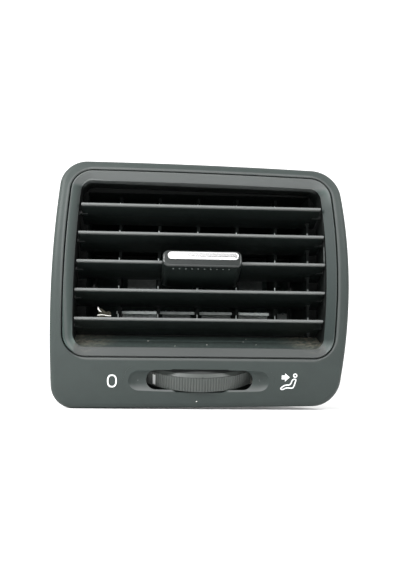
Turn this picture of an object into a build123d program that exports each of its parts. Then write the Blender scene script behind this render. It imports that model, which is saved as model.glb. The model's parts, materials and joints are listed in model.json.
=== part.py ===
from build123d import *
from build123d.topology import SkipClean
import os
from math import sin, cos, tan, acos, radians, degrees, pi

os.makedirs("parts", exist_ok=True)

# Dashboard air vent, in mm. x is the viewer's right, y into the dashboard, z up.
# Drawn from the crown's foremost point and the middle slat's front edge, and moved to the seat plane when saved.

# fascia
fascia_tl, fascia_tr = (-74.35, 55.5), (76.56, 52.8)
fascia_bl, fascia_br = (-76.8, -78.6), (74.8, -76.4)
fascia_left, fascia_right = (-78.25, -12), (81.1, -5)
fascia_corners = (14.5, 16.5, 15.5, 12)
crown_up, crown_side, crown_z = 240.0, 900.0, -12.0
seat_y = 18.0
fascia_wall = 2.5
edge_round = 3.5
lip_round = 0.6

# window, its bevel and the throat behind it
ring_tl, ring_tr = (-68.5, 49.8), (71.5, 47.6)
ring_bl, ring_br = (-71.25, -51.35), (71.75, -51.2)
ring_left, ring_right = (-71.6, -6), (74.2, -3)
ring_corners = (11.5, 11.5, 11, 12.5)
mid_x = 1.4
reveal = 0.4
bevel = 5.0
bevel_lip = 0.6
throat_wall = 2.0
throat_end = 31.0
ramp_start, ramp_end = (8.2, -46.4), (throat_end, -38.8)

# slats
slat_pitch = 15.4
slat_tilt = 19.0
slat_front, slat_rear = 9.7, 12.3
slat_nose = 0.65
slat_y = 9.0 + slat_front * cos(radians(slat_tilt))
slat_z = -0.1 - slat_front * sin(radians(slat_tilt))
slat_ends = ((-63.6, 66.6), (-64.9, 68.2), (-65.5, 68.7), (-66.1, 68.5), (-65.9, 67.3))
slat_pin = 1.5
slat_crank = 7.6
slat_link_x, slat_link_t = 62.1, 1.4

# knob on the middle slat, in the slat's own directions: v along it to the rear, w up off it
knob_w, knob_v0, knob_v1 = 42.4, -16.75, 9.9
knob_low, knob_high = -5.9, 3.7
knob_corner, knob_nose = 3.4, 1.3
trim_x, trim_w, trim_h = 1.9, 38.6, 5.1
trim_w_mid, trim_deep, trim_proud = 0.4, 1.2, 1.1
fork_bar_r = 1.4
fork_gap = 0.4

# vanes
vane_pitch = 22.3
vane_y, vane_front, vane_rear = 50.0, 15.0, 12.0
vane_t = 1.6
vane_pin = 1.5
fork_reach = 17.5
vane_crank = 9.0
vane_link_z = -24.0

# duct
duct_half, duct_wall = 63.0, 2.0
duct_top, duct_floor = 42.0, -33.0
flap_top = 15.0
duct_end = 114.0
flange_t = 2.0
flange_grow = 4.5
collar = duct_end - 5.5
joint_y = 66.0

# thumbwheel and the drive to the flap, in directions of its own: x, u up the wheel's plane, n along its axis
wheel_tilt = 17.5
wheel_r, wheel_rim, wheel_half, wheel_top = 34.0, 7.0, 4.0, 7.4
wheel_x, wheel_front = 0.8, (4.0, -65.9)
wheel_span = (-143.0, 58.0)
rib_pitch = 1.5
pin_r = 2.0
run = 0.06
tooth, teeth = 1.25, 14
gear_r = tooth * teeth / 2
wheel_turn = 88.0
slide_x0 = mid_x + duct_half + duct_wall + 0.4
slide_x1 = slide_x0 + 3.5
flap_y = 87.0
flap_shaft = 2.2

tilt = radians(wheel_tilt)
wheel_y = wheel_front[0] + wheel_r * cos(tilt)
wheel_z = wheel_front[1] + wheel_r * sin(tilt)
travel = gear_r * radians(wheel_turn)
flap_z = (flap_top + duct_floor) / 2


def save(node, shape):
    moved = Pos(-mid_x, -seat_y, -slat_z) * shape
    export_step(moved, "parts/" + node + ".step")


def wall(face, y0, y1):
    """A flat face drawn in x and z, made solid between two depths."""
    return extrude(Plane.XZ * Pos(0, 0, -y0) * face, amount=y1 - y0, dir=(0, 1, 0))


def box(x0, x1, y0, y1, z0, z1):
    return Pos((x0 + x1) / 2, (y0 + y1) / 2, (z0 + z1) / 2) * Box(x1 - x0, y1 - y0, z1 - z0)


def side_shape(points, x0, x1):
    """A shape drawn in y and z, made solid between two x."""
    face = make_face(Polyline(*[(x0, y, z) for y, z in points], close=True))
    return extrude(face, amount=x1 - x0, dir=(1, 0, 0))


def rod_x(r, x0, x1, y, z):
    return Pos((x0 + x1) / 2, y, z) * Rot(0, 90, 0) * Cylinder(r, x1 - x0)


def rod_y(r, y0, y1, x, z):
    return Pos(x, (y0 + y1) / 2, z) * Rot(90, 0, 0) * Cylinder(r, y1 - y0)


def rod_z(r, z0, z1, x, y):
    return Pos(x, y, (z0 + z1) / 2) * Cylinder(r, z1 - z0)


def panel_outline(tl, tr, br, bl, left, right, corners):
    edges = [Line(tl, tr), ThreePointArc(tr, right, br), Line(br, bl), ThreePointArc(bl, left, tl)]
    face = make_face(edges).face()
    for corner, r in zip((tl, tr, br, bl), corners):
        vertex = min(face.vertices(), key=lambda v: abs(v.X - corner[0]) + abs(v.Y - corner[1]))
        face = face.fillet_2d(r, [vertex])
    return face


def crown(depth):
    """Everything behind the crowned front, from this depth under it."""
    r, half = crown_up - depth, 95.0
    sag = r - (r * r - half * half) ** 0.5
    a, b, c = (depth + sag, crown_z + half), (depth, crown_z), (depth + sag, crown_z - half)
    edges = [
        ThreePointArc(*[(mid_x, y, z) for y, z in (a, b, c)]),
        Polyline((mid_x, c[0], c[1]), (mid_x, 70, c[1]), (mid_x, 70, a[1]), (mid_x, a[0], a[1])),
    ]
    axis = Axis((mid_x, crown_side, 0), (0, 0, 1))
    return revolve(make_face(edges), axis, 14).rotate(axis, -7)


outline = panel_outline(fascia_tl, fascia_tr, fascia_br, fascia_bl, fascia_left, fascia_right, fascia_corners)
ring = panel_outline(ring_tl, ring_tr, ring_br, ring_bl, ring_left, ring_right, ring_corners)
window = offset(ring, -bevel).face()

# directions of the wheel's plane
wheel_plane = Plane(origin=(wheel_x, wheel_y, wheel_z), x_dir=(1, 0, 0), z_dir=(0, -sin(tilt), cos(tilt)))


def on_wheel(shape):
    """Moves a shape drawn in x, u and n onto the wheel."""
    return wheel_plane * shape


def wheel_uv(y, z):
    dy, dz = y - wheel_y, z - wheel_z
    return dy * cos(tilt) + dz * sin(tilt), -dy * sin(tilt) + dz * cos(tilt)


flap_u, flap_n = wheel_uv(flap_y, flap_z)

# the slot in the fascia and its scoop
slot_x, slot_z = 0.8, -63.05
slot_w, slot_h = 56.4, 10.3
scoop_x, scoop_z, scoop_w, scoop_h = 0.4, -63.7, 75.8, 12.0
scoop_depth = 2.8
scoop_r = scoop_h**2 / 8 / scoop_depth + scoop_depth / 2
scoop_y = (scoop_z - crown_z) ** 2 / (2 * crown_up)
scoop_plane = Plane(
    origin=(scoop_x, scoop_y, scoop_z), x_dir=(1, 0, 0), z_dir=(0, -1, (scoop_z - crown_z) / crown_up)
)
lip_end = 14.0

post_low = ((-64.0, -68.0), (65.0, -67.5))
post_high = ((-50.0, 48.2), (52.0, 46.6))
post_r, screw_r = 3.2, 1.3
tab_x, tab_z = (-44.0, 46.0), -71.8


def stadium(w, h, x, z):
    return Pos(x, z) * SlotOverall(w, h)


def inside(face, edge):
    """Whether an edge follows the rim of a face seen from the front."""
    p = edge @ 0.5
    near = face.outer_wire().distance_to(Vertex(p.X, p.Z, 0))
    return near < 0.2


def capsule(r, length):
    """A rod along x with round ends, their middles that length apart."""
    ends = [Pos(side * length / 2, 0, 0) * Sphere(r) for side in (-1, 1)]
    return Rot(0, 90, 0) * Cylinder(r, length) + ends


def build_fascia():
    body = wall(outline, -2, seat_y) & crown(0)
    front = [e for e in body.edges() if abs(e.bounding_box().max.Y - seat_y) > 0.5]
    body = fillet(front, edge_round)
    # the hollow behind the skin leaves the lip round the window
    hollow = wall(offset(outline, -fascia_wall), -2, seat_y + 1) & crown(fascia_wall)
    hollow -= wall(offset(ring, reveal + 1.6), -5, lip_end)
    mouth = offset(ring, reveal).face()
    body = body - hollow - wall(mouth, -3, throat_end + 1)
    body = fillet([e for e in body.edges() if inside(mouth, e) and e.bounding_box().max.Y < lip_end - 1], lip_round)
    body += scoop_plane * Pos(0, 0, -4.8) * extrude(SlotOverall(scoop_w + 4, scoop_h + 4), amount=4, dir=(0, 0, 1))
    body -= scoop_plane * Pos(0, 0, scoop_r - scoop_depth) * capsule(scoop_r, scoop_w - scoop_h)
    body -= wall(stadium(slot_w, slot_h, slot_x, slot_z), 0, 12)
    body -= on_wheel(Pos(0, 0, (wheel_top - wheel_half) / 2) * Cylinder(wheel_r + 0.5, wheel_top + wheel_half + 0.9))
    for x, z in post_low:
        body += rod_y(post_r, 5, throat_end, x, z) & crown(1.2)
        body -= rod_y(screw_r, 14, throat_end + 1, x, z)
    for x in tab_x:
        body += box(x - 6, x + 6, 5, throat_end, tab_z, tab_z + 2) & crown(1.2)
    return body


def throat_bottom(y0, y1, drop):
    """The ramp's line carried between two depths, as a band below it."""
    slope = (ramp_end[1] - ramp_start[1]) / (ramp_end[0] - ramp_start[0])
    z0 = ramp_start[1] + (y0 - ramp_start[0]) * slope
    z1 = ramp_start[1] + (y1 - ramp_start[0]) * slope
    return [(y0, z0), (y1, z1), (y1, z1 - drop), (y0, z0 - drop)]


def build_bezel():
    body = wall(ring, -2, lip_end) & crown(0.5)
    body = fillet([e for e in body.edges() if e.bounding_box().max.Y < lip_end - 0.1], 2 * lip_round)
    body -= wall(window, -3, 40)
    front = [e for e in body.edges() if e.bounding_box().max.Y < lip_end - 0.1]
    body = chamfer([e for e in front if inside(window, e)], bevel - bevel_lip)
    body += wall(offset(ring, 2.2), lip_end, lip_end + 2) - wall(window, 10, 40)
    tube = wall(offset(window, throat_wall), 13, throat_end)
    for x, z in post_high:
        tube += rod_y(post_r, 14.5, throat_end, x, z)
    for i in range(5):
        for x0, x1 in ((-72, -60), (60, 75)):
            tube += rod_x(slat_pin + 1.6, x0, x1, slat_y, slat_z + slat_pitch * (2 - i)) & wall(
                offset(window, throat_wall + 1.2), 14, throat_end
            )
    body += tube - wall(window, 10, 40)
    low, high = -80, 80
    body -= side_shape([(17, -60), (17, -42.4)] + [(throat_end + 1, -37.0 - 1), (throat_end + 1, -60)], low, high)
    ramp = side_shape(throat_bottom(ramp_start[0], throat_end, 2.2), low, high)
    skirt = wall(offset(window, throat_wall), 8, throat_end)
    body += ramp & skirt
    body -= side_shape([(17, -60), (17, -45.8), (throat_end + 1, -41.2), (throat_end + 1, -60)], low, high)
    for i in range(5):
        body -= rod_x(slat_pin + run, -80, 80, slat_y, slat_z + slat_pitch * (2 - i))
    for x, z in post_high:
        body -= rod_y(screw_r, 20, throat_end + 1, x, z)
    return body


def duct_profile(grow):
    """Side view of the duct's hollow, larger by a wall."""
    y0 = throat_end - 1 if grow == 0 else throat_end
    return [
        (y0, -38.2 - grow),
        (33, -38.2 - grow),
        (62, duct_floor - grow),
        (duct_end + (1 if grow == 0 else 0), duct_floor - grow),
        (duct_end + (1 if grow == 0 else 0), flap_top + grow),
        (86, flap_top + grow),
        (54, duct_top + grow),
        (y0, duct_top + grow),
    ]


def vane_x(i):
    return mid_x + vane_pitch * (i - 2)


post_u = 9.0
slide_posts = (slide_x0 - 22.8, slide_x0 - 9.8)
slide_n0, slide_n1 = -7.2, -5.2
bracket_n0, bracket_n1 = -9.5, -7.5
left_post = -42.0
tray_front = -24.0


def duct_shell():
    shell = side_shape(duct_profile(duct_wall), mid_x - duct_half - duct_wall, mid_x + duct_half + duct_wall)
    low, high = duct_floor - flange_grow, flap_top + flange_grow
    flange = wall(ring, throat_end, throat_end + flange_t) & box(-90, 90, 0, 90, -44, 70)
    shell += flange
    for x, z in post_low:
        shell += box(x - 4, x + 4, throat_end, throat_end + flange_t, z - 4.5, -40)
    shell += side_shape(
        [(y, z) for y, z in zip((collar, collar + 1.3, collar + 1.3, collar), (low, low, high, high))],
        mid_x - duct_half - flange_grow,
        mid_x + duct_half + flange_grow,
    )
    for i in range(5):
        shell += rod_z(vane_pin + 1.7, duct_top, duct_top + 4.5, vane_x(i), vane_y)
        shell += rod_z(vane_pin + 1.7, -40.4, -34, vane_x(i), vane_y)
    for side in (-1, 1):
        x = mid_x + side * duct_half
        tip = x + side * (3.0 if side < 0 else slide_x0 - 0.3 - x)
        shell += rod_x(flap_shaft + 2, min(x, tip), max(x, tip), flap_y, flap_z)
    boss = on_wheel(Pos(0, 0, 12.3) * Cylinder(4.5, 15.4)) & box(-20, 20, throat_end, 60, -60, -36)
    shell += boss
    for x in slide_posts + (left_post,):
        post = on_wheel(Pos(x - wheel_x, post_u, (bracket_n1 + 20) / 2) * Cylinder(2.5, 20 - bracket_n1))
        shell += post
    shell -= side_shape(duct_profile(0), mid_x - duct_half, mid_x + duct_half)
    stop = 2.0
    half, mid = duct_half, flap_z
    x0, x1 = mid_x - half, mid_x + half
    shell += box(x0, x1, flap_y + 2.4, flap_y + 4, flap_top - stop, flap_top)
    shell += box(x0, x1, flap_y - 4, flap_y - 2.4, duct_floor, duct_floor + stop)
    for s in (x0, x1 - stop):
        shell += box(s, s + stop, flap_y + 2.4, flap_y + 4, mid + 5, flap_top)
        shell += box(s, s + stop, flap_y - 4, flap_y - 2.4, duct_floor, mid - 5)
    for i in range(5):
        shell -= rod_z(vane_pin + run, -45, 50, vane_x(i), vane_y)
    shell -= rod_x(flap_shaft + run, -80, 80, flap_y, flap_z)
    shell -= on_wheel(Pos(0, 0, 6.3) * Cylinder(pin_r, 3.6))
    for x in slide_posts + (left_post,):
        shell -= on_wheel(Pos(x - wheel_x, post_u, bracket_n1 + 3) * Cylinder(1.0, 8))
    for x, z in post_low + post_high:
        shell -= rod_y(screw_r + 0.3, throat_end - 1, throat_end + 3, x, z)
    return shell


def build_duct():
    """The front moulding, which holds the vanes and the wheel's bracket."""
    return duct_shell() & box(-120, 120, 0, joint_y, -90, 90)


def build_flap_housing():
    """The rear moulding, which holds the flap and ends in the collar."""
    return duct_shell() & box(-120, 120, joint_y, 200, -90, 90)


def build_gasket():
    grow = duct_wall + 3.0
    y0, y1 = collar + 1.3, duct_end - 0.5
    outer = box(mid_x - duct_half - grow, mid_x + duct_half + grow, y0, y1, duct_floor - grow, flap_top + grow)
    grow = duct_wall
    inner = box(mid_x - duct_half - grow, mid_x + duct_half + grow, y0 - 5, y1 + 5, duct_floor - grow, flap_top + grow)
    return outer - inner


def clip_shape(up, x, z):
    """A folded spring strip with its barb turned outwards, seen from the side."""
    side = [(19.5, 0.45), (29, 0.45), (29.8, 1.2), (22.5, 4.6), (20.6, 2.6)]
    face = trace(Polyline(*[(y, up * h) for y, h in side]), 0.7)
    return Pos(x - 4.5, 0, z) * extrude(Plane.YZ * face, amount=9, dir=(1, 0, 0))


def build_clips_top():
    return Compound(children=[clip_shape(1, x, roof_height(x) + throat_wall + 0.12) for x in (-30.0, 32.0)])


def roof_height(x):
    """Height of the throat's roof at one x, from the ring's sloping top line."""
    slope = (ring_tr[1] - ring_tl[1]) / (ring_tr[0] - ring_tl[0])
    return ring_tl[1] + (x - ring_tl[0]) * slope - bevel


def build_clips_bottom():
    return Compound(children=[clip_shape(-1, x, tab_z) for x in tab_x])


def build_bracket():
    u0, u1 = -9.0, 13.0
    x0, x1 = left_post - 4, slide_posts[1] + 3.4
    thick = bracket_n1 - bracket_n0
    plate = Pos((x0 + x1) / 2 - wheel_x, (u0 + u1) / 2, (bracket_n0 + bracket_n1) / 2) * Box(x1 - x0, u1 - u0, thick)
    tray = Box(slot_w + 5, u0 - tray_front, thick)
    plate += Pos(0, (tray_front + u0) / 2, (bracket_n0 + bracket_n1) / 2) * tray
    plate += Pos(0, 0, (bracket_n1 - 5.4) / 2) * Cylinder(4, -5.4 - bracket_n1)
    plate -= Pos(0, 0, -8) * Cylinder(pin_r, 8)
    for x in slide_posts + (left_post,):
        plate -= Pos(x - wheel_x, post_u, -8) * Cylinder(1.4, 6)
    return on_wheel(plate)


def build_wheel_pin():
    low, high = bracket_n0 - 0.6, 8.0
    pin = Pos(0, 0, (low + high) / 2) * Cylinder(pin_r, high - low)
    pin += Pos(0, 0, bracket_n0 - 0.6) * Cylinder(3.2, 1.2)
    return on_wheel(pin)


def gear_profile():
    """Involute gear outline with a little backlash, one tooth pointing along x."""
    pressure = radians(20)
    base = gear_r * cos(pressure)
    tip, root = gear_r + 0.8 * tooth, gear_r - 1.05 * tooth
    half = (pi * tooth / 2 - 0.3) / (2 * gear_r) + tan(pressure) - pressure
    flank = [(root, half)]
    for step in range(4):
        r = base + (tip - base) * step / 3
        a = acos(min(1.0, base / r))
        flank.append((r, half - (tan(a) - a)))
    points = []
    for k in range(teeth):
        mid = 2 * pi * k / teeth
        points += [(r * cos(mid - a), r * sin(mid - a)) for r, a in flank]
        points += [(r * cos(mid + a), r * sin(mid + a)) for r, a in reversed(flank)]
    return make_face(Polyline(*points, close=True))


def rack_profile(first, last, depth):
    """Rack in s and h: teeth point to +h about the pitch line at h = 0, with a gap at s = 0."""
    pitch = pi * tooth
    quarter = (pitch / 2 - 0.3) / 2
    rise = tan(radians(20))
    tip, root = 0.8 * tooth, -1.05 * tooth
    start, end = (first - 0.5) * pitch - pitch / 2, (last + 0.5) * pitch + pitch / 2
    points = [(start, root - depth), (start, root)]
    for k in range(first, last + 1):
        mid = (k + 0.5) * pitch
        points += [(mid - quarter + root * rise, root), (mid - quarter + tip * rise, tip)]
        points += [(mid + quarter - tip * rise, tip), (mid + quarter - root * rise, root)]
    points += [(end, root), (end, root - depth)]
    return make_face(Polyline(*points, close=True))


def ribbed_ring(a0, a1):
    """Sector of the rim with fine ribs, drawn in x and u; angles run from the front towards +x."""
    count = int(radians(a1 - a0) * wheel_r / rib_pitch)
    step = radians(a1 - a0) / count
    deep = 0.35
    outer = []
    for k in range(count):
        a = radians(a0) + step * k
        for part, r in ((0.0, wheel_r - deep), (0.3, wheel_r), (0.7, wheel_r)):
            outer.append((r * sin(a + part * step), -r * cos(a + part * step)))
    a = radians(a1)
    outer.append(((wheel_r - deep) * sin(a), -(wheel_r - deep) * cos(a)))
    r = wheel_r - 3.5
    inner = ThreePointArc(
        (r * sin(a), -r * cos(a)),
        (r * sin(radians((a0 + a1) / 2)), -r * cos(radians((a0 + a1) / 2))),
        (r * sin(radians(a0)), -r * cos(radians(a0))),
    )
    edges = [Polyline(*outer), Line(outer[-1], inner @ 0), inner, Line(inner @ 1, outer[0])]
    return make_face(edges)


def build_thumbwheel():
    a0, a1 = wheel_span
    inner_r, h = wheel_r - wheel_rim, wheel_half
    skin = wheel_r - 0.6
    rim = [(inner_r, -h), (skin - 0.6, -h), (skin, -h + 0.6), (skin, h), (skin - 1.2, h + 1.6)]
    rim += [(skin - 4, wheel_top), (inner_r, wheel_top)]
    section = make_face(Polyline(*[(r, 0, n) for r, n in rim], close=True))
    body = revolve(section, Axis.Z, a1 - a0)
    web = make_face(Polyline((3, 0, -1), (inner_r + 1, 0, -1), (inner_r + 1, 0, 1), (3, 0, 1), close=True))
    body += revolve(web, Axis.Z, a1 - a0)
    body = body.rotate(Axis.Z, -90 + a0)
    body += Pos(0, 0, 0.5 - h) * extrude(ribbed_ring(a0, a1), amount=2 * h - 0.7, dir=(0, 0, 1))
    body -= Rot(0, 0, 2.5) * Pos(0, -wheel_r, h + 1.1) * Cylinder(0.9, 3)
    body += Cylinder(12, 2)
    body += Pos(0, 0, -0.5) * Cylinder(5, 9.4)
    body += Pos(0, 0, -5.2) * extrude(gear_profile(), amount=4.4, dir=(0, 0, 1))
    body -= Cylinder(pin_r + run, 40)
    return on_wheel(body)


def build_slide():
    low, high = slide_n0, -1.5
    bar = extrude(rack_profile(-5, 0, 3.0), amount=high - low, dir=(0, 0, 1))
    # the rack's teeth point at the wheel, so its h runs to -x and its s along u
    bar = Pos(gear_r, 0, low) * Rot(0, 0, 90) * bar
    keep = Pos(0, -7.75, (low + high) / 2) * Box(200, 25.5, high - low)
    bar = bar & keep
    u0, u1 = post_u - travel - 4.5, post_u + 4.0
    x0 = gear_r + 1.05 * tooth
    turn = slide_posts[1] + 3.4 - wheel_x
    x1, thick = slide_x1 - wheel_x, slide_n1 - slide_n0
    bar += Pos((x0 + turn) / 2, (u0 + u1) / 2, slide_n0 + thick / 2) * Box(turn - x0, u1 - u0, thick)
    bar += Pos((x0 + x1) / 2, (2 + u1) / 2, slide_n0 + thick / 2) * Box(x1 - x0, u1 - 2, thick)
    for x in slide_posts:
        slot = Rot(0, 0, 90) * SlotOverall(travel + 5.0 + 0.8, 5.0 + 0.5)
        mid = post_u - travel / 2
        bar -= Pos(x - wheel_x, mid, slide_n0 - 1) * extrude(slot, amount=5, dir=(0, 0, 1))
    # the arm beside the duct, drawn in u and n
    pitch_n = flap_n - gear_r
    rack = rack_profile(-5, 0, 5.0)
    rack = Pos(flap_u, pitch_n) * rack
    root = pitch_n - 1.05 * tooth
    arm = make_face(
        Polyline((5.5, slide_n0), (u1, slide_n0), (u1 + 4, root - 5), (flap_u - 10, root - 5),
                 (flap_u - 10, root), (12, root), (5.5, slide_n1 + 3), close=True)
    )
    side = arm + rack
    side = extrude(Plane.YZ * side, amount=slide_x1 - slide_x0, dir=(1, 0, 0))
    bar += Pos(slide_x0 - wheel_x, 0, 0) * side
    return on_wheel(bar)


def build_flap_plate():
    plate = box(mid_x - duct_half + 2.6, mid_x + duct_half - 2.6, flap_y - 1, flap_y + 1, duct_floor + 2.6, flap_top - 2.6)
    shaft = rod_x(flap_shaft, mid_x - duct_half - 3.0, slide_x1 + 1.0, flap_y, flap_z)
    plate += shaft
    for x in (-40, -20, 0, 20, 40):
        plate += side_shape(
            [(flap_y, flap_z - 15), (flap_y + 3.2, flap_z), (flap_y, flap_z + 15), (flap_y - 0.5, flap_z)],
            mid_x + x - 0.7, mid_x + x + 0.7,
        )
    return plate


def build_flap_seal():
    edge = 0.4
    outer = box(mid_x - duct_half + edge, mid_x + duct_half - edge, flap_y - 1.8, flap_y + 1.8,
                duct_floor + edge, flap_top - edge)
    inner = box(mid_x - duct_half + 2.6, mid_x + duct_half - 2.6, flap_y - 5, flap_y + 5, duct_floor + 2.6, flap_top - 2.6)
    return outer - inner - rod_x(flap_shaft, mid_x - duct_half - 5, mid_x + duct_half + 5, flap_y, flap_z)


def build_flap_pinion():
    gear = extrude(gear_profile(), amount=slide_x1 - slide_x0, dir=(0, 0, 1))
    # a tooth points straight at the rack, along -n
    gear = Pos(slide_x0, flap_y, flap_z) * Rot(wheel_tilt, 0, 0) * Rot(0, 90, 0) * gear
    return gear - rod_x(flap_shaft, slide_x0 - 1, slide_x1 + 1, flap_y, flap_z)


def slat_section(grow):
    """Cross-section of a slat in v and w, level, about its pivot."""
    top = [(-slat_front - grow, slat_nose - 0.25 + grow), (-slat_front + 0.25, slat_nose + grow), (-5, 0.9 + grow),
           (1, 1.1 + grow), (8, 0.85 + grow), (slat_rear - 0.4, 0.55 + grow), (slat_rear + grow, 0.2 + grow)]
    return top + [(v, -w) for v, w in reversed(top)]


def tilted(shape, z):
    """Turns a shape drawn level about x = 0 line into the slat's rest tilt and lifts it to a pivot."""
    return Pos(0, slat_y, z) * Rot(-slat_tilt, 0, 0) * shape


def build_slat(i):
    x0, x1 = slat_ends[i]
    body = side_shape(slat_section(0), x0, x1)
    body += rod_x(slat_pin, x0 - 2.6, x0 + 3, 0, 0)
    body += rod_x(slat_pin, x1 - 3, x1 + 2.6, 0, 0)
    gap = slat_link_t / 2 + 0.5
    body -= box(slat_link_x - gap, slat_link_x + gap, slat_crank - 3.4, slat_rear + 2, -3, 3)
    body += rod_x(1.1, slat_link_x - gap - 0.2, slat_link_x + gap + 0.2, slat_crank, 0)
    return tilted(body, slat_z + slat_pitch * (2 - i))


def link_point(i):
    a = radians(slat_tilt)
    return slat_y + slat_crank * cos(a), slat_z + slat_pitch * (2 - i) - slat_crank * sin(a)


def build_slat_link():
    y, top = link_point(0)
    low = link_point(4)[1]
    body = box(slat_link_x - slat_link_t / 2, slat_link_x + slat_link_t / 2, y - 2.1, y + 2.1, low - 2.4, top + 2.4)
    for i in range(5):
        body -= rod_x(1.1 + (run if i == 2 else 0.09), 50, 70, *link_point(i))
    return body


def across(v):
    """Plane square to the slat's chord, with x and w as its directions."""
    return Plane(origin=(0, v, 0), x_dir=(1, 0, 0), z_dir=(0, -1, 0))


def build_knob_body():
    mid_w = (knob_low + knob_high) / 2
    face = Pos(mid_x, mid_w) * RectangleRounded(knob_w, knob_high - knob_low, knob_corner)
    body = extrude(across(knob_v1) * face, amount=knob_v1 - knob_v0)
    body = fillet(body.faces().sort_by(Axis.Y)[0].edges(), knob_nose)
    rear = [(-4, knob_high - 0.2), (knob_v1 + 1, 2.4), (knob_v1 + 1, 6), (-4, 6)]
    body -= side_shape(rear, -80, 80)
    body -= side_shape(slat_section(0.25), -80, 80)
    body -= box(mid_x - 12, mid_x + 12, -4, knob_v1 + 1, knob_low + 1.6, -1.0)
    pocket = Pos(trim_x, trim_w_mid) * SlotOverall(trim_w + 0.2, trim_h + 0.2)
    body -= extrude(across(knob_v0 + trim_deep) * pocket, amount=6)
    return tilted(body, slat_z)


def build_knob_trim():
    bar = Pos(trim_x, trim_w_mid) * SlotOverall(trim_w, trim_h)
    bar = extrude(across(knob_v0 + trim_deep) * bar, amount=trim_deep + trim_proud)
    return tilted(fillet(bar.faces().sort_by(Axis.Y)[0].edges(), 1.7), slat_z)


def build_knob_fork():
    low, high = knob_low + 1.6, -1.55
    body = box(mid_x - 12, mid_x + 12, -4, knob_v1, low, high)
    inner = fork_bar_r + fork_gap
    body += box(mid_x - inner - 1.6, mid_x + inner + 1.6, knob_v1 - 1, 22.2, low, high - 0.4)
    body -= box(mid_x - inner, mid_x + inner, knob_v1 + 1.2, 30, -9, 5)
    return tilted(body, slat_z)


def build_vane(i):
    x = vane_x(i)
    y0, y1 = vane_y - vane_front, vane_y + vane_rear
    points = [(y0, -36.2), (y1, -31.4), (y1, 33.4), (y1 - 9, 40.6), (y0, 40.6)]
    body = side_shape(points, x - vane_t / 2, x + vane_t / 2)
    body += rod_z(vane_pin, 38, duct_top + 3.0, x, vane_y) + rod_z(vane_pin, -40.0, -33, x, vane_y)
    link_y = vane_y + vane_crank
    low, high = vane_link_z - 1.3, vane_link_z + 1.3
    body -= box(x - 2, x + 2, link_y - 3.7, y1 + 1, low, high)
    body += rod_z(1.1, low - 0.2, high + 0.2, x, link_y)
    if i == 2:
        cut0, cut1 = -18.4, 6.4
        body -= box(x - 2, x + 2, y0 - 1, vane_y - 8.5, cut0, cut1)
        bar_y = vane_y - fork_reach
        for z0 in (cut0 - 1.4, cut1):
            body += box(x - vane_t / 2, x + vane_t / 2, bar_y, y0 + 3, z0, z0 + 1.4)
        body += rod_z(fork_bar_r, cut0 - 1.4, cut1 + 1.4, x, bar_y)
    return body


def build_vane_link():
    y = vane_y + vane_crank
    x0, x1 = vane_x(0) - 2.4, vane_x(4) + 2.4
    body = box(x0, x1, y - 2.2, y + 2.2, vane_link_z - 0.8, vane_link_z + 0.8)
    for i in range(5):
        body -= rod_z(1.1 + (run if i == 2 else 0.09), -30, -20, vane_x(i), y)
    return body


with SkipClean():
    save("fascia", build_fascia())
    save("bezel", build_bezel())
save("duct", build_duct())
save("flap_housing", build_flap_housing())
save("outlet_gasket", build_gasket())
save("clips_top", build_clips_top())
save("clips_bottom", build_clips_bottom())
save("wheel_bracket", build_bracket())
save("wheel_pin", build_wheel_pin())
save("thumbwheel", build_thumbwheel())
save("drive_slide", build_slide())
save("flap_plate", build_flap_plate())
save("flap_seal", build_flap_seal())
save("flap_pinion", build_flap_pinion())
for number in range(5):
    save("slat_" + str(number + 1), build_slat(number))
    save("vane_" + str(number + 1), build_vane(number))
save("slat_link", build_slat_link())
save("vane_link", build_vane_link())
save("knob_body", build_knob_body())
save("knob_trim", build_knob_trim())
save("knob_fork", build_knob_fork())
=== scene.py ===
import bpy, bmesh, json, random
from math import cos, hypot, pi, radians, sin
from mathutils import Matrix, Vector, noise
from mathutils.bvhtree import BVHTree
from mathutils.geometry import tessellate_polygon


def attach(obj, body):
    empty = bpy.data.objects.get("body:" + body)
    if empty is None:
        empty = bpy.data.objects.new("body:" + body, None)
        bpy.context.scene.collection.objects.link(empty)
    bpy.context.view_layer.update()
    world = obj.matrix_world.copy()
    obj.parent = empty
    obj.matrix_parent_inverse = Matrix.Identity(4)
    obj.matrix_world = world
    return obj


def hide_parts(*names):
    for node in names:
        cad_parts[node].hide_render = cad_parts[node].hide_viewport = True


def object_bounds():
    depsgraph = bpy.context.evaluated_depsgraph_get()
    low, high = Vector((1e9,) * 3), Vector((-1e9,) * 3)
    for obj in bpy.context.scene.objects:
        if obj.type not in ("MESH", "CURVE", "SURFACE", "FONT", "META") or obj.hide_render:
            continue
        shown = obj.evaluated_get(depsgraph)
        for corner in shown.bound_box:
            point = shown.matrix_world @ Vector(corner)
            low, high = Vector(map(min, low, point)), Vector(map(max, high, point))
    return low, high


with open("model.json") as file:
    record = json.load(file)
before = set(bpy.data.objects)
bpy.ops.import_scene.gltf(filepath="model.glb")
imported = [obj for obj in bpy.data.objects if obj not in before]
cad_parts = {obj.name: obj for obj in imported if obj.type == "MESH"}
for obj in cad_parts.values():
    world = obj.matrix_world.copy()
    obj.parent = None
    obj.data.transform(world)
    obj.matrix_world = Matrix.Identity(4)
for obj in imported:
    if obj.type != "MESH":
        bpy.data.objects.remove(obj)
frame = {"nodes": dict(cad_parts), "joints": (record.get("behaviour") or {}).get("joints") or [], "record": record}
cad_box = [list(corner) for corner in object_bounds()]
nodes = frame["nodes"]
joints = {joint["name"]: joint for joint in frame["joints"]}
MM = 0.001

# camera, measured from the photograph: where it stands and how it is turned
CAMERA_AT = Vector((-28.43, -414.43, -56.21)) * MM
CAMERA_YAW, CAMERA_PITCH, CAMERA_ROLL = radians(3.9), radians(6.6), radians(0.5)
FRAME_W, FRAME_H, FOCAL_PX, SENSOR = 400, 570, 762.5, 36.0

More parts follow.
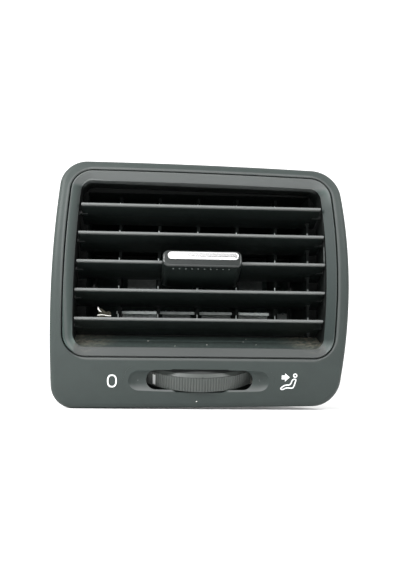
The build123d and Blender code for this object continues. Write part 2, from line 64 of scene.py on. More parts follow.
# printed marks: middle and size of the nought, and the outlines of the airflow picture, as x and z in mm
NOUGHT_AT, NOUGHT_SIZE, NOUGHT_STROKE = (-46.6, -60.6), (5.05, 6.65), 0.7
ARROW = ((42.8, -57.0), (44.6, -57.0), (44.6, -55.85), (47.1, -58.0), (44.6, -60.2), (44.6, -59.05), (42.8, -59.05))
HEAD_AT, HEAD_R = (50.05, -57.05), 0.85
SEATED = ((48.7, -58.95), (50.45, -58.95), (50.5, -59.6), (49.4, -63.1), (48.6, -63.72), (45.5, -63.4),
          (43.35, -64.6), (42.3, -64.1), (42.7, -63.4), (44.9, -61.95), (47.6, -62.1))
PICTURE_STROKE = 0.6

# the knob's grip dots in mm: how many, their pitch, how far the row is off the middle, their radius, and where it lies
# along the slat's chord from its pivot; and how far below the knob to look for its underside
DOT_COUNT, DOT_PITCH, DOT_SHIFT, DOT_R, DOT_V = 10, 3.3, -0.5, 0.34, -13.2
UNDER_KNOB = 20

# how the slats are tilted at rest
SLAT_TILT = radians(19.0)

# where the painted highlight on the slats' front edges starts, and over how many mm
SLAT_EDGE_Y, SLAT_EDGE_DEPTH = -7.5, 1.2

# the bezel's outer edge in mm: half its width and height, its middle's height and its corners' radius; how far it drops
# for each mm to the right, and how its sides bow in with the height squared, per metre
RING_HALF_W, RING_HALF_H, RING_MID_Z, RING_CORNER = 72.9, 50.05, 1.95, 11.5
RING_DROP, RING_BOW = -0.0079, -1.04

# screws in mm: x and z of the four that hold the duct to the front, and in the wheel's plane those of the bracket; then
# how far the bracket's underside is from the wheel's middle, and the y of the duct flange's rear
DUCT_SCREWS = ((-65.4, -64.74), (63.6, -64.24), (-51.4, 51.46), (50.6, 49.86))
BRACKET_SCREWS = ((-42.8, 9.0), (43.2, 9.0), (56.2, 9.0))
BRACKET_UNDER = -9.5
FLANGE_REAR = 15.0

# foam in mm: the remesh's voxel, its pores' size and depth, and how far in the skin lies as a share of that depth
FOAM_VOXEL, FOAM_PORE, FOAM_DEPTH, FOAM_SUNK = 0.6, 1.1, 0.14, 0.6

# specks on the ramp, as x, y and size in mm, and on the lower band, as x, z and size; a height over the whole ramp
RAMP_SPECKS = ((-28.1, 2.6, 0.42), (-13.7, -6.0, 0.22), (3.6, -3.6, 0.2),
               (24.0, 2.7, 0.3), (26.2, 7.6, 0.25), (30.4, -2.6, 0.24))
BAND_SPECK = (-2.15, -71.0, 0.36)
OVER_RAMP = -30


# ---------- materials ----------

def wire(mat):
    tree = mat.node_tree
    return tree.nodes, tree.links, tree.nodes["Principled BSDF"]


def add(tree_nodes, kind, **values):
    """A shader node with some of its sockets set by name."""
    node = tree_nodes.new("ShaderNode" + kind)
    for name, value in values.items():
        node.inputs[name].default_value = value
    return node


def maths(tree_nodes, links, operation, first, second):
    """A maths node fed by sockets or numbers; its result."""
    node = tree_nodes.new("ShaderNodeMath")
    node.operation = operation
    for socket, value in zip(node.inputs, (first, second)):
        if isinstance(value, (int, float)):
            socket.default_value = value
        else:
            links.new(value, socket)
    return node.outputs[0]


def ranged(tree_nodes, links, value, low, high, to_low, to_high):
    node = tree_nodes.new("ShaderNodeMapRange")
    for name, number in zip(("From Min", "From Max", "To Min", "To Max"), (low, high, to_low, to_high)):
        node.inputs[name].default_value = number
    links.new(value, node.inputs["Value"])
    return node.outputs["Result"]


def moulded(name, low, high, rough, grain=0.35, depth=0.02, blotch=9.0, rough_swing=0.06, specular=0.5):
    """Moulded plastic: a fine grain of that many mm, and a slow change of colour and roughness."""
    mat = bpy.data.materials.new(name)
    mat.use_nodes = True
    tree_nodes, links, shader = wire(mat)
    place = add(tree_nodes, "TexCoord")
    slow = add(tree_nodes, "TexNoise", Scale=1 / (blotch * MM), Detail=4.0, Roughness=0.6)
    fine = add(tree_nodes, "TexNoise", Scale=1 / (grain * MM), Detail=2.0, Roughness=0.5)
    cells = add(tree_nodes, "TexVoronoi", Scale=1 / (grain * 1.7 * MM))
    for texture in (slow, fine, cells):
        links.new(place.outputs["Object"], texture.inputs["Vector"])
    tone = add(tree_nodes, "ValToRGB")
    tone.name = "tone"
    tone.color_ramp.elements[0].position, tone.color_ramp.elements[1].position = 0.3, 0.7
    tone.color_ramp.elements[0].color = (*low, 1)
    tone.color_ramp.elements[1].color = (*high, 1)
    links.new(slow.outputs["Fac"], tone.inputs["Fac"])
    links.new(tone.outputs["Color"], shader.inputs["Base Color"])
    links.new(ranged(tree_nodes, links, fine.outputs["Fac"], 0.0, 1.0, rough - rough_swing, rough + rough_swing),
              shader.inputs["Roughness"])
    height = maths(tree_nodes, links, "ADD", fine.outputs["Fac"], cells.outputs["Distance"])
    bump = add(tree_nodes, "Bump", Strength=0.5, Distance=depth * MM)
    links.new(height, bump.inputs["Height"])
    links.new(bump.outputs["Normal"], shader.inputs["Normal"])
    shader.inputs["Specular IOR Level"].default_value = specular
    return mat


def overlay(mat, mask, colour):
    """Paints a colour over what the material has, where the mask is 1."""
    tree_nodes, links, shader = wire(mat)
    mix = tree_nodes.new("ShaderNodeMix")
    mix.data_type = "RGBA"
    factor, below, above = mix.inputs["Factor"], mix.inputs[6], mix.inputs[7]
    above.default_value = (*colour, 1)
    links.new(shader.inputs["Base Color"].links[0].from_socket, below)
    links.new(mask, factor)
    links.new(mix.outputs[2], shader.inputs["Base Color"])


def place_parts(mat):
    """The object's own x, y and z, in metres."""
    tree_nodes, links, _ = wire(mat)
    place = add(tree_nodes, "TexCoord")
    parts = add(tree_nodes, "SeparateXYZ")
    links.new(place.outputs["Object"], parts.inputs[0])
    return place.outputs["Object"], parts.outputs


def dust_near(mat, spot, reach, colour, amount):
    """Dust that lies round a place on what faces up, broken up by noise."""
    tree_nodes, links, _ = wire(mat)
    coords, _ = place_parts(mat)
    away = tree_nodes.new("ShaderNodeVectorMath")
    away.operation = "DISTANCE"
    away.inputs[1].default_value = Vector(spot) * MM
    links.new(coords, away.inputs[0])
    near = ranged(tree_nodes, links, away.outputs["Value"], 0.0, reach * MM, 1.0, 0.0)
    broken = add(tree_nodes, "TexNoise", Scale=1 / (2.2 * MM), Detail=6.0, Roughness=0.7)
    links.new(coords, broken.inputs["Vector"])
    patches = ranged(tree_nodes, links, broken.outputs["Fac"], 0.42, 0.68, 0.0, amount)
    settled = add(tree_nodes, "SeparateXYZ")
    links.new(add(tree_nodes, "NewGeometry").outputs["Normal"], settled.inputs[0])
    lying = ranged(tree_nodes, links, settled.outputs[2], 0.2, 0.7, 0.0, 1.0)
    thick = maths(tree_nodes, links, "MULTIPLY", near, patches)
    overlay(mat, maths(tree_nodes, links, "MULTIPLY", thick, lying), colour)


# tints that a grey level is multiplied by, and the colour of dust
COOL, NEUTRAL, GREENISH = (0.74, 1.05, 0.965), (0.92, 1.0, 0.98), (0.88, 1.0, 0.93)
EDGE_TINT, EVEN = (0.95, 1.0, 0.98), (1.0, 1.0, 1.0)
DUST = (0.30, 0.28, 0.22)


def grey(level, tint=COOL):
    return tuple(level * t for t in tint)


finishes = {
    name: moulded(name, low, high, rough, **more) for name, low, high, rough, more in (
        ("fascia_plastic", grey(0.026), grey(0.030), 0.56, {"grain": 0.4, "depth": 0.03, "specular": 0.4}),
        ("bezel_plastic", grey(0.074), grey(0.080), 0.54, {"grain": 0.4, "depth": 0.03, "specular": 0.4}),
        ("duct_plastic", grey(0.011), grey(0.015), 0.65, {"grain": 0.8, "specular": 0.12}),
        ("foam", grey(0.035, NEUTRAL), grey(0.065, NEUTRAL), 0.95, {"grain": 0.9, "depth": 0.25, "specular": 0.1}),
        ("spring_steel", grey(0.42, NEUTRAL), grey(0.5, NEUTRAL), 0.34, {"grain": 0.3, "depth": 0.004}),
        ("pin_steel", grey(0.5, NEUTRAL), grey(0.56, NEUTRAL), 0.25, {"grain": 0.3, "depth": 0.004}),
        ("wheel_plastic", grey(0.056, GREENISH), grey(0.066, GREENISH), 0.45, {"grain": 0.4}),
        ("drive_plastic", (0.62, 0.60, 0.54), (0.68, 0.66, 0.6), 0.4, {"grain": 0.8, "depth": 0.01}),
        ("slat_plastic", grey(0.006), grey(0.008), 0.42, {"grain": 0.3, "depth": 0.01, "specular": 0.3}),
        ("vane_plastic", grey(0.003), grey(0.0045), 0.6, {"grain": 0.3, "depth": 0.01, "specular": 0.05}),
        ("knob_plastic", grey(0.008), grey(0.011), 0.33, {"grain": 0.3, "depth": 0.01, "specular": 0.6}),
        ("chrome_trim", grey(0.84, EVEN), grey(0.87, EVEN), 0.26, {"grain": 0.3, "depth": 0.001}),
        ("white_print", (0.80, 0.82, 0.81), (0.86, 0.88, 0.87), 0.5, {"grain": 0.2, "depth": 0.006}),
        ("flap_facing", grey(0.02), grey(0.035), 0.9, {"grain": 0.7, "depth": 0.12, "blotch": 3.0, "specular": 0.1}),
        ("dry_leaf", (0.014, 0.014, 0.011), (0.045, 0.043, 0.033), 0.9,
         {"grain": 0.5, "depth": 0.08, "blotch": 2.0, "specular": 0.1}),
        # the knob's grip dots are painted pale as painted highlights
        ("grip_dot", grey(0.2, NEUTRAL), grey(0.26, NEUTRAL), 0.4, {"grain": 0.2, "depth": 0.005}),
        ("debris", (0.78, 0.77, 0.73), (0.9, 0.89, 0.85), 0.8, {"grain": 0.3, "depth": 0.05}),
        ("bar_plastic", grey(0.006), grey(0.008), 0.55, {"grain": 0.3, "depth": 0.01, "specular": 0.1}),
        # the vanes' tie bar is painted pale as painted light
        ("tie_bar_painted_light", grey(0.4, NEUTRAL), grey(0.6, NEUTRAL), 0.7, {"grain": 0.6, "depth": 0.03, "blotch": 4.0}),
    )
}
for slot in ("spring_steel", "pin_steel", "chrome_trim"):
    wire(finishes[slot])[2].inputs["Metallic"].default_value = 1.0


def band(tree_nodes, links, value, low, high, soft):
    """1 between low and high in mm, and 0 outside, with soft edges."""
    rise = ranged(tree_nodes, links, value, (low - soft) * MM, low * MM, 0.0, 1.0)
    fall = ranged(tree_nodes, links, value, high * MM, (high + soft) * MM, 1.0, 0.0)
    return maths(tree_nodes, links, "MULTIPLY", rise, fall)


def light_and_shade_box(mat, low, high, soft, colour, amount, ragged=0.0):
    """Paints a patchy colour inside a box in mm, as low and high corners, as painted light and painted shade; ragged
    moves its upper edge about.
    """
    tree_nodes, links, _ = wire(mat)
    coords, parts = place_parts(mat)
    mottle = add(tree_nodes, "TexNoise", Scale=1 / (1.6 * MM), Detail=5.0, Roughness=0.65)
    links.new(coords, mottle.inputs["Vector"])
    height = maths(tree_nodes, links, "ADD", parts[2],
                   ranged(tree_nodes, links, mottle.outputs["Fac"], 0.3, 0.7, -ragged * MM, ragged * MM))
    inside = maths(tree_nodes, links, "MULTIPLY", band(tree_nodes, links, parts[0], low[0], high[0], soft),
                   band(tree_nodes, links, height, low[2], high[2], soft))
    inside = maths(tree_nodes, links, "MULTIPLY", inside, band(tree_nodes, links, parts[1], low[1], high[1], soft))
    patchy = ranged(tree_nodes, links, mottle.outputs["Fac"], 0.25, 0.75, amount * 0.6, amount)
    overlay(mat, maths(tree_nodes, links, "MULTIPLY", inside, patchy), colour)


def facing(mat, axis, low, high, colour, within=None, soft=1.5):
    """Paints a colour as painted light and shade on what faces along an axis, more as the normal goes from low to high;
    within gives x and z limits in mm.
    """
    tree_nodes, links, _ = wire(mat)
    shape = add(tree_nodes, "NewGeometry")
    normal = add(tree_nodes, "SeparateXYZ")
    links.new(shape.outputs["Normal"], normal.inputs[0])
    mask = ranged(tree_nodes, links, normal.outputs[axis], low, high, 0.0, 1.0)
    if within:
        _, parts = place_parts(mat)
        for part, (start, end) in zip((parts[0], parts[2]), within):
            mask = maths(tree_nodes, links, "MULTIPLY", mask, band(tree_nodes, links, part, start, end, soft))
    overlay(mat, mask, colour)


def ring_depth(mat):
    """How far inside the bezel's outer edge a place is, in metres, and how upright that edge is there, from 0 to 1."""
    tree_nodes, links, _ = wire(mat)
    _, (x, _, z) = place_parts(mat)

    def m(operation, first, second=0.0):
        return maths(tree_nodes, links, operation, first, second)

    slope = m("MULTIPLY", x, RING_DROP)
    bow = m("MULTIPLY", m("POWER", m("ABSOLUTE", z), 2.0), RING_BOW)
    half_w = m("ADD", bow, (RING_HALF_W - RING_CORNER) * MM)
    half_h = m("ADD", slope, (RING_HALF_H - RING_CORNER) * MM)
    off_x = m("MAXIMUM", m("SUBTRACT", m("ABSOLUTE", x), half_w), 0.0)
    height = m("ABSOLUTE", m("SUBTRACT", m("SUBTRACT", z, slope), RING_MID_Z * MM))
    off_z = m("MAXIMUM", m("SUBTRACT", height, half_h), 0.0)
    reach = m("SQRT", m("ADD", m("MULTIPLY", off_x, off_x), m("MULTIPLY", off_z, off_z)))
    side = m("DIVIDE", off_x, m("MAXIMUM", reach, 1e-5))
    return m("SUBTRACT", RING_CORNER * MM, reach), side


def ring_overlay(mat, stops, side_amount, level_amount, colour):
    """Paints along the bezel's edge, in one amount where the edge is upright and another where it is level.

    The paint sets in between the first two depths in mm, and where two more are given it ends between those.
    """
    tree_nodes, links, _ = wire(mat)
    depth, side = ring_depth(mat)
    mask = ranged(tree_nodes, links, depth, stops[0] * MM, stops[1] * MM, 0.0, 1.0)
    if len(stops) == 4:
        fall = ranged(tree_nodes, links, depth, stops[2] * MM, stops[3] * MM, 1.0, 0.0)
        mask = maths(tree_nodes, links, "MULTIPLY", mask, fall)
    amount = ranged(tree_nodes, links, side, 0.0, 1.0, level_amount, side_amount)
    overlay(mat, maths(tree_nodes, links, "MULTIPLY", mask, amount), colour)


fascia, bezel, duct = finishes["fascia_plastic"], finishes["bezel_plastic"], finishes["duct_plastic"]

# painted shade darkens the bezel as it turns inwards towards the window, most on its sides, and painted highlights pale
# the two mouldings' rounded lips
ring_overlay(bezel, (0.8, 5.0), 0.85, 0.08, grey(0.014))
ring_overlay(bezel, (-0.2, 0.1, 0.9, 1.8), 0.6, 0.5, grey(0.12, NEUTRAL))
ring_overlay(fascia, (-2.0, -1.3, -0.5, -0.3), 0.6, 0.9, grey(0.07, NEUTRAL))

# painted light makes the ramp paler and painted shade darkens its front, and painted shade darkens the bevel on the
# right where it faces left
light_and_shade_box(bezel, (-75, -9, -46), (75, 14, -30), 1.5, (0.10, 0.135, 0.125), 0.9)
light_and_shade_box(bezel, (-66, -10.4, -44.5), (66, 2, -37), 0.8, (0.02, 0.027, 0.025), 1.1)
facing(bezel, 0, 0.02, -0.25, (0.006, 0.017, 0.015), ((64, 80), (-37, 34)), 8.0)

# painted shade darkens the inner walls and the ceiling to near black
for axis, low, high in ((0, 0.6, 0.9), (0, -0.6, -0.9), (2, -0.3, -0.6)):
    facing(bezel, axis, low, high, grey(0.004))

# painted light pales the scoops beside the wheel where they face up, and painted light and shade make the bevel paler
# at the top and darker at the bottom
for scoop in ((-43, -15), (15, 46)):
    facing(fascia, 2, 0.02, 0.42, grey(0.085, NEUTRAL), (scoop, (-72, -53)))
light_and_shade_box(bezel, (-75, -14, 46.5), (75, 1, 58), 2.5, grey(0.096, NEUTRAL), 1.7)
light_and_shade_box(bezel, (-66, -14, -58), (66, -9.5, -42), 1.5, grey(0.057, NEUTRAL), 1.7)

# painted shade darkens the throat, painted highlights make two streaks at its right edge, there is dust in its lower
# corners, and a thin strip at the duct's front is painted near black
light_and_shade_box(bezel, (-80, 2, -35.5), (80, 40, 60), 1.0, grey(0.006), 1.6)
light_and_shade_box(bezel, (66.4, -5.8, 3.9), (68.6, -5.0, 13.1), 0.3, grey(0.6, NEUTRAL), 1.0)
light_and_shade_box(bezel, (66.0, -5.8, -20), (68.6, -5.2, 30), 0.3, grey(0.06, NEUTRAL), 0.8)
dust_near(bezel, (-63, 6, -38), 20.0, DUST, 1.3)
dust_near(bezel, (62, 7, -38), 20.0, DUST, 1.5)
light_and_shade_box(duct, (-75, 12.5, -42), (75, 13.5, 60), 0.4, grey(0.003), 1.7)


def wrapped(mat, value, start, pitch):
    """How far past the last of a row of places a coordinate is, in metres, for a start and a pitch in mm."""
    tree_nodes, links, _ = wire(mat)
    from_start = maths(tree_nodes, links, "SUBTRACT", value, start * MM)
    return maths(tree_nodes, links, "FLOORED_MODULO", from_start, pitch * MM)


def catch_light(mat, row, within, front, level, repeat=None):
    """Pales a front edge just above each slat.

    row is the heights' start and pitch, within the x limits, front the y that it ends at, all in mm. With repeat, which
    is a start and a pitch, the x limits count from each of a row of places.
    """
    tree_nodes, links, _ = wire(mat)
    _, (x, y, z) = place_parts(mat)
    mask = ranged(tree_nodes, links, wrapped(mat, z, *row), 1.6 * MM, 2.4 * MM, 1.0, 0.0)
    if repeat:
        x = wrapped(mat, x, *repeat)
    mask = maths(tree_nodes, links, "MULTIPLY", mask, band(tree_nodes, links, x, *within, 0.2))
    before = ranged(tree_nodes, links, y, front * MM, (front - 0.4) * MM, 0.0, 1.0)
    overlay(mat, maths(tree_nodes, links, "MULTIPLY", mask, before), grey(level, NEUTRAL))


# the front edges of the vanes and of the slats' tie bar
catch_light(finishes["vane_plastic"], (-9.4, 15.93), (9.75, 10.75), 17.4, 0.8, (-55.75, 22.3))
catch_light(finishes["bar_plastic"], (-11.07, 15.9), (60.3, 61.0), 6.6, 0.3)

# painted light on the flap's front, low down between the vanes and higher up, and on the vanes' tie bar before it
for low_x, high_x, level in ((-44, -22, 0.85), (-19, -2, 0.5), (6, 24, 0.5), (29, 49, 0.8), (52, 60, 0.3)):
    light_and_shade_box(finishes["flap_facing"], (low_x, 60, -27), (high_x, 69, -18.2), 0.8, grey(level, NEUTRAL), 1.0, 0.9)
light_and_shade_box(finishes["flap_facing"], (-41, 60, -4), (-24, 69, 3.4), 0.8, grey(0.26, NEUTRAL), 1.0)
light_and_shade_box(finishes["flap_facing"], (28, 60, -6), (44, 69, 2.6), 0.8, grey(0.14, NEUTRAL), 1.0)
for low_x, high_x in ((-44, -24), (27, 46)):
    light_and_shade_box(finishes["tie_bar_painted_light"], (low_x, 36, -30), (high_x, 46, -10), 1.0, grey(1.0, NEUTRAL), 1.2)

# a painted highlight along the slats' front edges
slat_nodes, slat_links, _ = wire(finishes["slat_plastic"])
_, slat_parts = place_parts(finishes["slat_plastic"])
edge_highlight = ranged(slat_nodes, slat_links, slat_parts[1], SLAT_EDGE_Y * MM, (SLAT_EDGE_Y - SLAT_EDGE_DEPTH) * MM,
                  0.0, 1.0)
overlay(finishes["slat_plastic"], edge_highlight, grey(0.13, EDGE_TINT))

# painted shade darkens the wheel's rounded upper edge, where it faces up, against its grip
facing(finishes["wheel_plastic"], 2, 0.4, 0.62, grey(0.03, NEUTRAL))

for part in frame["record"]["subparts"]:
    node = nodes[part["node"]]
    node.data.materials.clear()
    node.data.materials.append(finishes[part["material_slot"]])
for name, finish in (("flap_plate", "flap_facing"), ("slat_link", "bar_plastic"), ("vane_link", "tie_bar_painted_light")):
    nodes[name].data.materials[0] = finishes[finish]


# ---------- pieces ----------

def new_object(name, verts, faces):
    mesh = bpy.data.meshes.new(name)
    mesh.from_pydata(verts, [], faces)
    mesh.update()
    obj = bpy.data.objects.new(name, mesh)
    bpy.context.scene.collection.objects.link(obj)
    return obj


def piece(name, verts, faces, finish, body, slot, smooth=False):
    """A closed mesh in metres that moves with a body."""
    obj = new_object(name, verts, faces)
    shape = bmesh.new()
    shape.from_mesh(obj.data)
    bmesh.ops.recalc_face_normals(shape, faces=shape.faces)
    shape.to_mesh(obj.data)
    shape.free()
    for face in obj.data.polygons:
        face.use_smooth = smooth
    obj.data.materials.append(finishes[finish])
    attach(obj, body)


def tree_of(node):
    mesh = nodes[node].data
    return BVHTree.FromPolygons([v.co for v in mesh.vertices], [tuple(p.vertices) for p in mesh.polygons])


fascia_tree, bezel_tree, knob_tree = tree_of("fascia"), tree_of("bezel"), tree_of("knob_body")
IN, DOWN = Vector((0, 1, 0)), Vector((0, 0, -1))


def on_front(x, z):
    """The place on the fascia's front that is seen at x and z in mm, and its normal."""
    place, normal, _, _ = fascia_tree.ray_cast(Vector((x * MM, cad_box[0][1] - 0.01, z * MM)), IN)
    return place, normal


PRINT_UP, PRINT_DOWN = 0.04 * MM, 0.06 * MM


def printed(name, loops):
    """A thin flat mark on the fascia, from one outline and its holes, as x and z in mm."""
    flat = [Vector((x, z, 0)) for loop in loops for x, z in loop]
    count = len(flat)
    verts = []
    for lift in (PRINT_UP, -PRINT_DOWN):
        for p in flat:
            place, normal = on_front(p.x, p.y)
            verts.append(place + normal * lift)
    cap = tessellate_polygon([[Vector((x, z, 0)) for x, z in loop] for loop in loops])
    faces = [tuple(tri) for tri in cap] + [tuple(count + i for i in reversed(tri)) for tri in cap]
    start = 0
    for loop in loops:
        for k in range(len(loop)):
            a, b = start + k, start + (k + 1) % len(loop)
            faces.append((a, b, count + b, count + a))
        start += len(loop)
    piece(name, verts, faces, "white_print", "housing", "fascia_plastic")


def oval(at, size, count, power=2.0):
    loop = []
    for k in range(count):
        c, s = cos(2 * pi * k / count), sin(2 * pi * k / count)
        loop.append((at[0] + size[0] / 2 * abs(c) ** (2 / power) * (1 if c >= 0 else -1),
                     at[1] + size[1] / 2 * abs(s) ** (2 / power) * (1 if s >= 0 else -1)))
    return loop


def rounded(points):
    """A closed outline with its corners cut and cut again."""
    for _ in range(2):
        cut = []
        for k, (x0, z0) in enumerate(points):
            x1, z1 = points[(k + 1) % len(points)]
            cut += [(x0 * 0.75 + x1 * 0.25, z0 * 0.75 + z1 * 0.25), (x0 * 0.25 + x1 * 0.75, z0 * 0.25 + z1 * 0.75)]
        points = cut
    return points


def moved_out(points, by):
    """A closed outline moved sideways by that many mm."""
    out = []
    for k, (x, z) in enumerate(points):
        (xa, za), (xb, zb) = points[k - 1], points[(k + 1) % len(points)]
        dx, dz = xb - xa, zb - za
        length = hypot(dx, dz)
        out.append((x + dz / length * by, z - dx / length * by))
    return out


nought_w, nought_h = NOUGHT_SIZE
printed("mark_nought", [oval(NOUGHT_AT, NOUGHT_SIZE, 48, 2.5),
                        oval(NOUGHT_AT, (nought_w - 2 * NOUGHT_STROKE, nought_h - 2 * NOUGHT_STROKE), 48, 2.5)[::-1]])
printed("mark_arrow", [ARROW])
printed("mark_head", [oval(HEAD_AT, (HEAD_R * 2 + PICTURE_STROKE,) * 2, 28),
                      oval(HEAD_AT, (HEAD_R * 2 - PICTURE_STROKE,) * 2, 28)[::-1]])
seat_line = rounded(SEATED)
printed("mark_seated", [moved_out(seat_line, -PICTURE_STROKE / 2), moved_out(seat_line, PICTURE_STROKE / 2)[::-1]])

# the white index on the wheel's rim
wheel_joint = joints["thumbwheel_turn"]
wheel_at, wheel_n = Vector(wheel_joint["pos_m"]), Vector(wheel_joint["axis"]).normalized()
wheel_across = Vector((1, 0, 0))
wheel_u = wheel_n.cross(wheel_across)
wheel_offsets = [v.co - wheel_at for v in nodes["thumbwheel"].data.vertices]
wheel_r = max((offset - wheel_n * offset.dot(wheel_n)).length for offset in wheel_offsets)
INDEX_AT, INDEX_HALF_ANGLE, INDEX_HALF_H = radians(-45.0), radians(1.5), 2.6 * MM


def rim_point(angle, up_axis, r):
    return wheel_at + (wheel_across * sin(angle) - wheel_u * cos(angle)) * r + wheel_n * up_axis


def index_mark():
    steps = 6
    verts, faces = [], []
    for r in (wheel_r + 0.04 * MM, wheel_r - 0.5 * MM):
        for k in range(steps + 1):
            angle = INDEX_AT + INDEX_HALF_ANGLE * (2 * k / steps - 1)
            verts += [rim_point(angle, -INDEX_HALF_H, r), rim_point(angle, INDEX_HALF_H, r)]
    back = 2 * (steps + 1)
    for k in range(steps):
        a = 2 * k
        faces += [(a, a + 1, a + 3, a + 2), (back + a, back + a + 2, back + a + 3, back + a + 1)]
        faces += [(a, a + 2, back + a + 2, back + a), (a + 1, back + a + 1, back + a + 3, a + 3)]
    last = 2 * steps
    faces += [(0, back, back + 1, 1), (last, last + 1, back + last + 1, back + last)]
    piece("wheel_index", verts, faces, "white_print", "thumbwheel", "wheel_plastic")


index_mark()

# the row of grip dots under the knob's front, painted pale as painted highlights
pivot = Vector(joints["slat_3_tilt"]["pos_m"])
chord = Vector((0, cos(SLAT_TILT), -sin(SLAT_TILT)))
off_chord = Vector((0, sin(SLAT_TILT), cos(SLAT_TILT)))


def dome(at, normal, r, flat=0.6, rings=4, around=12):
    """Half a ball sunk a little under a surface, closed below."""
    side = normal.orthogonal().normalized()
    other = normal.cross(side)
    verts = [at + normal * r * flat]
    for k in range(1, rings + 1):
        a = pi / 2 * k / rings
        for j in range(around):
            b = 2 * pi * j / around
            verts.append(at + normal * (cos(a) * r * flat - (0.1 * MM if k == rings else 0))
                         + (side * cos(b) + other * sin(b)) * sin(a) * r)
    faces = [(0, 1 + j, 1 + (j + 1) % around) for j in range(around)]
    for k in range(rings - 1):
        for j in range(around):
            a, b = 1 + k * around + j, 1 + k * around + (j + 1) % around
            faces.append((a, a + around, b + around, b))
    faces.append(tuple(1 + (rings - 1) * around + j for j in range(around)))
    return verts, faces


def joined(shapes):
    """Several lists of vertices and faces as one."""
    verts, faces = [], []
    for shape_verts, shape_faces in shapes:
        start = len(verts)
        verts += shape_verts
        faces += [tuple(start + i for i in face) for face in shape_faces]
    return verts, faces


dots = []
for k in range(DOT_COUNT):
    x = ((k - (DOT_COUNT - 1) / 2) * DOT_PITCH + DOT_SHIFT) * MM
    below = Vector((x, pivot.y, pivot.z)) + chord * DOT_V * MM - off_chord * UNDER_KNOB * MM
    place, normal, _, _ = knob_tree.ray_cast(below, off_chord)
    dots.append(dome(place, normal, DOT_R * MM))
piece("knob_grip_dots", *joined(dots), "grip_dot", "knob", "knob_plastic", smooth=True)


def screw(name, at, axis, body, head_r=2.7, head_h=1.7, shank_r=1.15, shank=10.0):
    """A pan-head screw with a cross recess, sizes in mm, whose head stands on at and looks along axis."""
    profile = [(shank_r * 0.3, -shank), (shank_r, -shank + 1.4), (shank_r, 0), (head_r, 0), (head_r, head_h * 0.45),
               (head_r * 0.86, head_h * 0.8), (head_r * 0.55, head_h), (0.0, head_h)]
    around = 24
    shape = bmesh.new()
    rings = [[shape.verts.new((r * MM * cos(2 * pi * j / around), r * MM * sin(2 * pi * j / around), h * MM))
              for j in range(around)] for r, h in profile[:-1]]
    top = shape.verts.new((0, 0, head_h * MM))
    for low, high in zip(rings, rings[1:]):
        for j in range(around):
            shape.faces.new((low[j], low[(j + 1) % around], high[(j + 1) % around], high[j]))
    for j in range(around):
        shape.faces.new((rings[-1][j], rings[-1][(j + 1) % around], top))
    shape.faces.new(list(reversed(rings[0])))
    head = bpy.data.meshes.new(name)
    shape.to_mesh(head)
    shape.free()
    obj = bpy.data.objects.new(name, head)
    bpy.context.scene.collection.objects.link(obj)
    cutter = new_object(name + "_cutter", *cross(head_r, head_h))
    cut = obj.modifiers.new("recess", "BOOLEAN")
    cut.object, cut.operation, cut.solver = cutter, "DIFFERENCE", "EXACT"
    made = bpy.data.meshes.new_from_object(obj.evaluated_get(bpy.context.evaluated_depsgraph_get()))
    obj.modifiers.clear()
    obj.data = made
    bpy.data.objects.remove(cutter)
    place = Matrix.Translation(at) @ axis.to_track_quat("Z", "Y").to_matrix().to_4x4()
    made.transform(place)
    made.materials.clear()
    made.materials.append(finishes["pin_steel"])
    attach(obj, body)


def cross(head_r, head_h):
    """Two crossed bars that taper downwards, as one outline drawn twice."""
    arm, bar = head_r * 0.52 * MM, head_r * 0.15 * MM
    outline = [(arm, -bar), (arm, bar), (bar, bar), (bar, arm), (-bar, arm), (-bar, bar),
               (-arm, bar), (-arm, -bar), (-bar, -bar), (-bar, -arm), (bar, -arm), (bar, -bar)]
    top = [(x, y, (head_h + 0.5) * MM) for x, y in outline]
    low = [(x * 0.5, y * 0.5, head_h * 0.3 * MM) for x, y in outline]
    count = len(outline)
    faces = [tuple(range(count)), tuple(reversed(range(count, 2 * count)))]
    faces += [(k, count + k, count + (k + 1) % count, (k + 1) % count) for k in range(count)]
    return top + low, faces


for number, (x, z) in enumerate(DUCT_SCREWS, 1):
    screw("duct_screw_" + str(number), Vector((x * MM, FLANGE_REAR * MM, z * MM)), IN, "housing")
for number, (x, u) in enumerate(BRACKET_SCREWS, 1):
    at = wheel_at + wheel_across * x * MM + wheel_u * u * MM + wheel_n * BRACKET_UNDER * MM
    screw("bracket_screw_" + str(number), at, -wheel_n, "housing", head_r=2.3, head_h=1.4, shank_r=0.85, shank=7.0)


def foam(name, node, body):
    """Foam in a node's place: its solid remeshed with an uneven, open-celled skin."""
    rough = nodes[node].data.copy()
    obj = bpy.data.objects.new(name, rough)
    bpy.context.scene.collection.objects.link(obj)
    cells = obj.modifiers.new("cells", "REMESH")
    cells.mode, cells.voxel_size = "VOXEL", FOAM_VOXEL * MM
    made = bpy.data.meshes.new_from_object(obj.evaluated_get(bpy.context.evaluated_depsgraph_get()))
    obj.modifiers.clear()
    obj.data = made
    made.update()
    for v, normal in [(v, v.normal.copy()) for v in made.vertices]:
        v.co += normal * (noise.noise(v.co / (FOAM_PORE * MM)) - FOAM_SUNK) * FOAM_DEPTH * MM
    made.materials.clear()
    made.materials.append(finishes["foam"])
    for face in made.polygons:
        face.use_smooth = True
    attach(obj, body)
    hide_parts(node)


foam("outlet_foam", "outlet_gasket", "housing")
foam("flap_foam", "flap_seal", "flap")


# specks of dirt, and a torn scrap that lies inside on the lowest slat
chance = random.Random(7)


